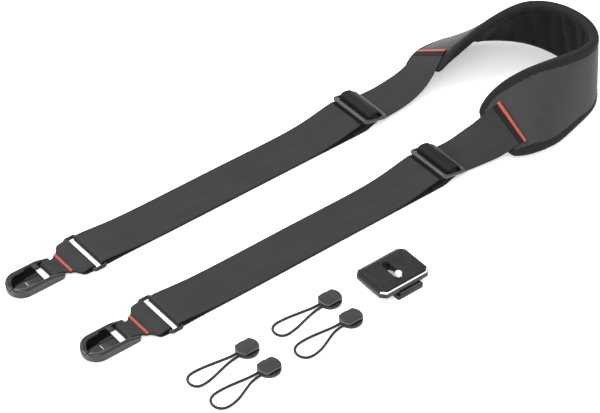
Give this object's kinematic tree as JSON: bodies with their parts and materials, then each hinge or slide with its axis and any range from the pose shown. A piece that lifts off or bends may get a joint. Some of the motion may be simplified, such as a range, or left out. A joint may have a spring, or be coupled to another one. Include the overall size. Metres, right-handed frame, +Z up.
{
  "type": "sling strap kit",
  "caption": "Camera sling strap: shoulder pad, adjustable webbing with sliders, ring-linked quick-release housings, cord-loop anchors and a dovetail camera plate with a captive screw.",
  "frame": {"origin": "centre of the laid-out kit's footprint, on the surface that it lies on", "axes": "+X along the two straps from the link housings to the shoulder pad, +Y from the right strap to the left strap, +Z up"},
  "size_m": [0.6354, 0.2748, 0.081],
  "materials": {
    "webbing": "woven nylon, satin",
    "pad_panel": "smooth close-woven cloth",
    "pad_lining": "ribbed grip cloth",
    "pad_foam": "closed-cell foam",
    "pad_binding": "folded edge tape",
    "bartack_thread": "coral red stitching",
    "buckle_plastic": "moulded, lightly polished",
    "ring_metal": "black, glossy",
    "housing_plastic": "moulded, glossy",
    "tongue_plastic": "moulded spring tongue",
    "puck_plastic": "moulded, glossy",
    "loop_cord": "braided",
    "plate_metal": "black anodised, bare bevels",
    "plate_grip": "soft grip face",
    "screw_steel": "bright"
  },
  "bodies": {
    "root": {"pad_foam_core": "pad_foam", "pad_outer_panel": "pad_panel", "pad_inner_lining": "pad_lining", "pad_binding_upper": "pad_binding", "pad_binding_lower": "pad_binding", "right_pad_bartack": "bartack_thread", "left_pad_bartack": "bartack_thread", "right_pad_webbing": "webbing", "left_pad_webbing": "webbing"},
    "right_slider": {"right_slider_frame": "buckle_plastic", "right_slider_webbing": "webbing", "right_webbing_tail": "webbing", "right_tail_bartack": "bartack_thread"},
    "right_strap": {"right_webbing_loop": "webbing"},
    "right_ring_link": {"right_ring": "ring_metal"},
    "right_tab_link": {"right_tab": "webbing", "right_tab_bartack": "bartack_thread"},
    "right_housing": {"right_link_housing": "housing_plastic"},
    "right_tongue": {"right_lock_tongue": "tongue_plastic"},
    "left_slider": {"left_slider_frame": "buckle_plastic", "left_slider_webbing": "webbing", "left_webbing_tail": "webbing", "left_tail_bartack": "bartack_thread"},
    "left_strap": {"left_webbing_loop": "webbing"},
    "left_ring_link": {"left_ring": "ring_metal"},
    "left_tab_link": {"left_tab": "webbing", "left_tab_bartack": "bartack_thread"},
    "left_housing": {"left_link_housing": "housing_plastic"},
    "left_tongue": {"left_lock_tongue": "tongue_plastic"},
    "first_anchor": {"first_anchor_base": "puck_plastic", "first_anchor_cap": "puck_plastic", "first_anchor_cord": "loop_cord"},
    "second_anchor": {"second_anchor_base": "puck_plastic", "second_anchor_cap": "puck_plastic", "second_anchor_cord": "loop_cord"},
    "third_anchor": {"third_anchor_base": "puck_plastic", "third_anchor_cap": "puck_plastic", "third_anchor_cord": "loop_cord"},
    "fourth_anchor": {"fourth_anchor_base": "puck_plastic", "fourth_anchor_cap": "puck_plastic", "fourth_anchor_cord": "loop_cord"},
    "plate": {"plate_body": "plate_metal", "plate_grip_pad": "plate_grip", "plate_dovetail_base": "plate_metal"},
    "screw_carriage": {"screw_washer": "screw_steel"},
    "screw": {"plate_screw": "screw_steel"}
  },
  "joints": [
    {"name": "right_slider_slide", "type": "slide", "parent": "root", "child": "right_slider", "axis": [-1, 0, 0], "range_m": [0, 0.16], "deforming": ["right_pad_webbing"]},
    {"name": "right_strap_slide", "type": "slide", "parent": "right_slider", "child": "right_strap", "axis": [1, 0, 0], "range_m": [0, 0.08], "deforming": ["right_webbing_loop"]},
    {"name": "right_ring_hinge", "type": "hinge", "parent": "right_strap", "child": "right_ring_link", "pos_m": [-0.22154, -0.01136, 0.0037], "axis": [0, 1, 0], "range_deg": [-75, 75]},
    {"name": "right_tab_hinge", "type": "hinge", "parent": "right_ring_link", "child": "right_tab_link", "pos_m": [-0.23394, -0.01136, 0.0037], "axis": [0, 1, 0], "range_deg": [-75, 75]},
    {"name": "right_housing_hinge", "type": "hinge", "parent": "right_tab_link", "child": "right_housing", "pos_m": [-0.26674, -0.01136, 0.004], "axis": [0, 1, 0], "range_deg": [-50, 50]},
    {"name": "right_tongue_flex", "type": "hinge", "parent": "right_housing", "child": "right_tongue", "pos_m": [-0.28944, -0.01136, 0.0011], "axis": [0, 1, 0], "range_deg": [0, 8], "stiffness_Nm_per_rad": 0.5},
    {"name": "left_slider_slide", "type": "slide", "parent": "root", "child": "left_slider", "axis": [-1, 0, 0], "range_m": [0, 0.16], "deforming": ["left_pad_webbing"]},
    {"name": "left_strap_slide", "type": "slide", "parent": "left_slider", "child": "left_strap", "axis": [1, 0, 0], "range_m": [0, 0.08], "deforming": ["left_webbing_loop"]},
    {"name": "left_ring_hinge", "type": "hinge", "parent": "left_strap", "child": "left_ring_link", "pos_m": [-0.22754, 0.09764, 0.0037], "axis": [0, 1, 0], "range_deg": [-75, 75]},
    {"name": "left_tab_hinge", "type": "hinge", "parent": "left_ring_link", "child": "left_tab_link", "pos_m": [-0.23994, 0.09764, 0.0037], "axis": [0, 1, 0], "range_deg": [-75, 75]},
    {"name": "left_housing_hinge", "type": "hinge", "parent": "left_tab_link", "child": "left_housing", "pos_m": [-0.27274, 0.09764, 0.004], "axis": [0, 1, 0], "range_deg": [-50, 50]},
    {"name": "left_tongue_flex", "type": "hinge", "parent": "left_housing", "child": "left_tongue", "pos_m": [-0.29544, 0.09764, 0.0011], "axis": [0, 1, 0], "range_deg": [0, 8], "stiffness_Nm_per_rad": 0.5},
    {"name": "first_anchor_lift", "type": "slide", "parent": "root", "child": "first_anchor", "axis": [0, 0, 1], "range_m": [0, 0.05]},
    {"name": "second_anchor_lift", "type": "slide", "parent": "root", "child": "second_anchor", "axis": [0, 0, 1], "range_m": [0, 0.05]},
    {"name": "third_anchor_lift", "type": "slide", "parent": "root", "child": "third_anchor", "axis": [0, 0, 1], "range_m": [0, 0.05]},
    {"name": "fourth_anchor_lift", "type": "slide", "parent": "root", "child": "fourth_anchor", "axis": [0, 0, 1], "range_m": [0, 0.05]},
    {"name": "plate_lift", "type": "slide", "parent": "root", "child": "plate", "axis": [0, 0, 1], "range_m": [0, 0.05]},
    {"name": "screw_slide", "type": "slide", "parent": "plate", "child": "screw_carriage", "axis": [0, 1, 0], "range_m": [0, 0.0164]},
    {"name": "screw_spin", "type": "hinge", "parent": "screw_carriage", "child": "screw", "pos_m": [-0.03634, -0.11276, 0.01], "axis": [0, 0, 1], "continuous": true}
  ],
  "couplings": [
    {"joint": "right_strap_slide", "follows": "right_slider_slide", "ratio": 0.5},
    {"joint": "left_strap_slide", "follows": "left_slider_slide", "ratio": 0.5}
  ]
}
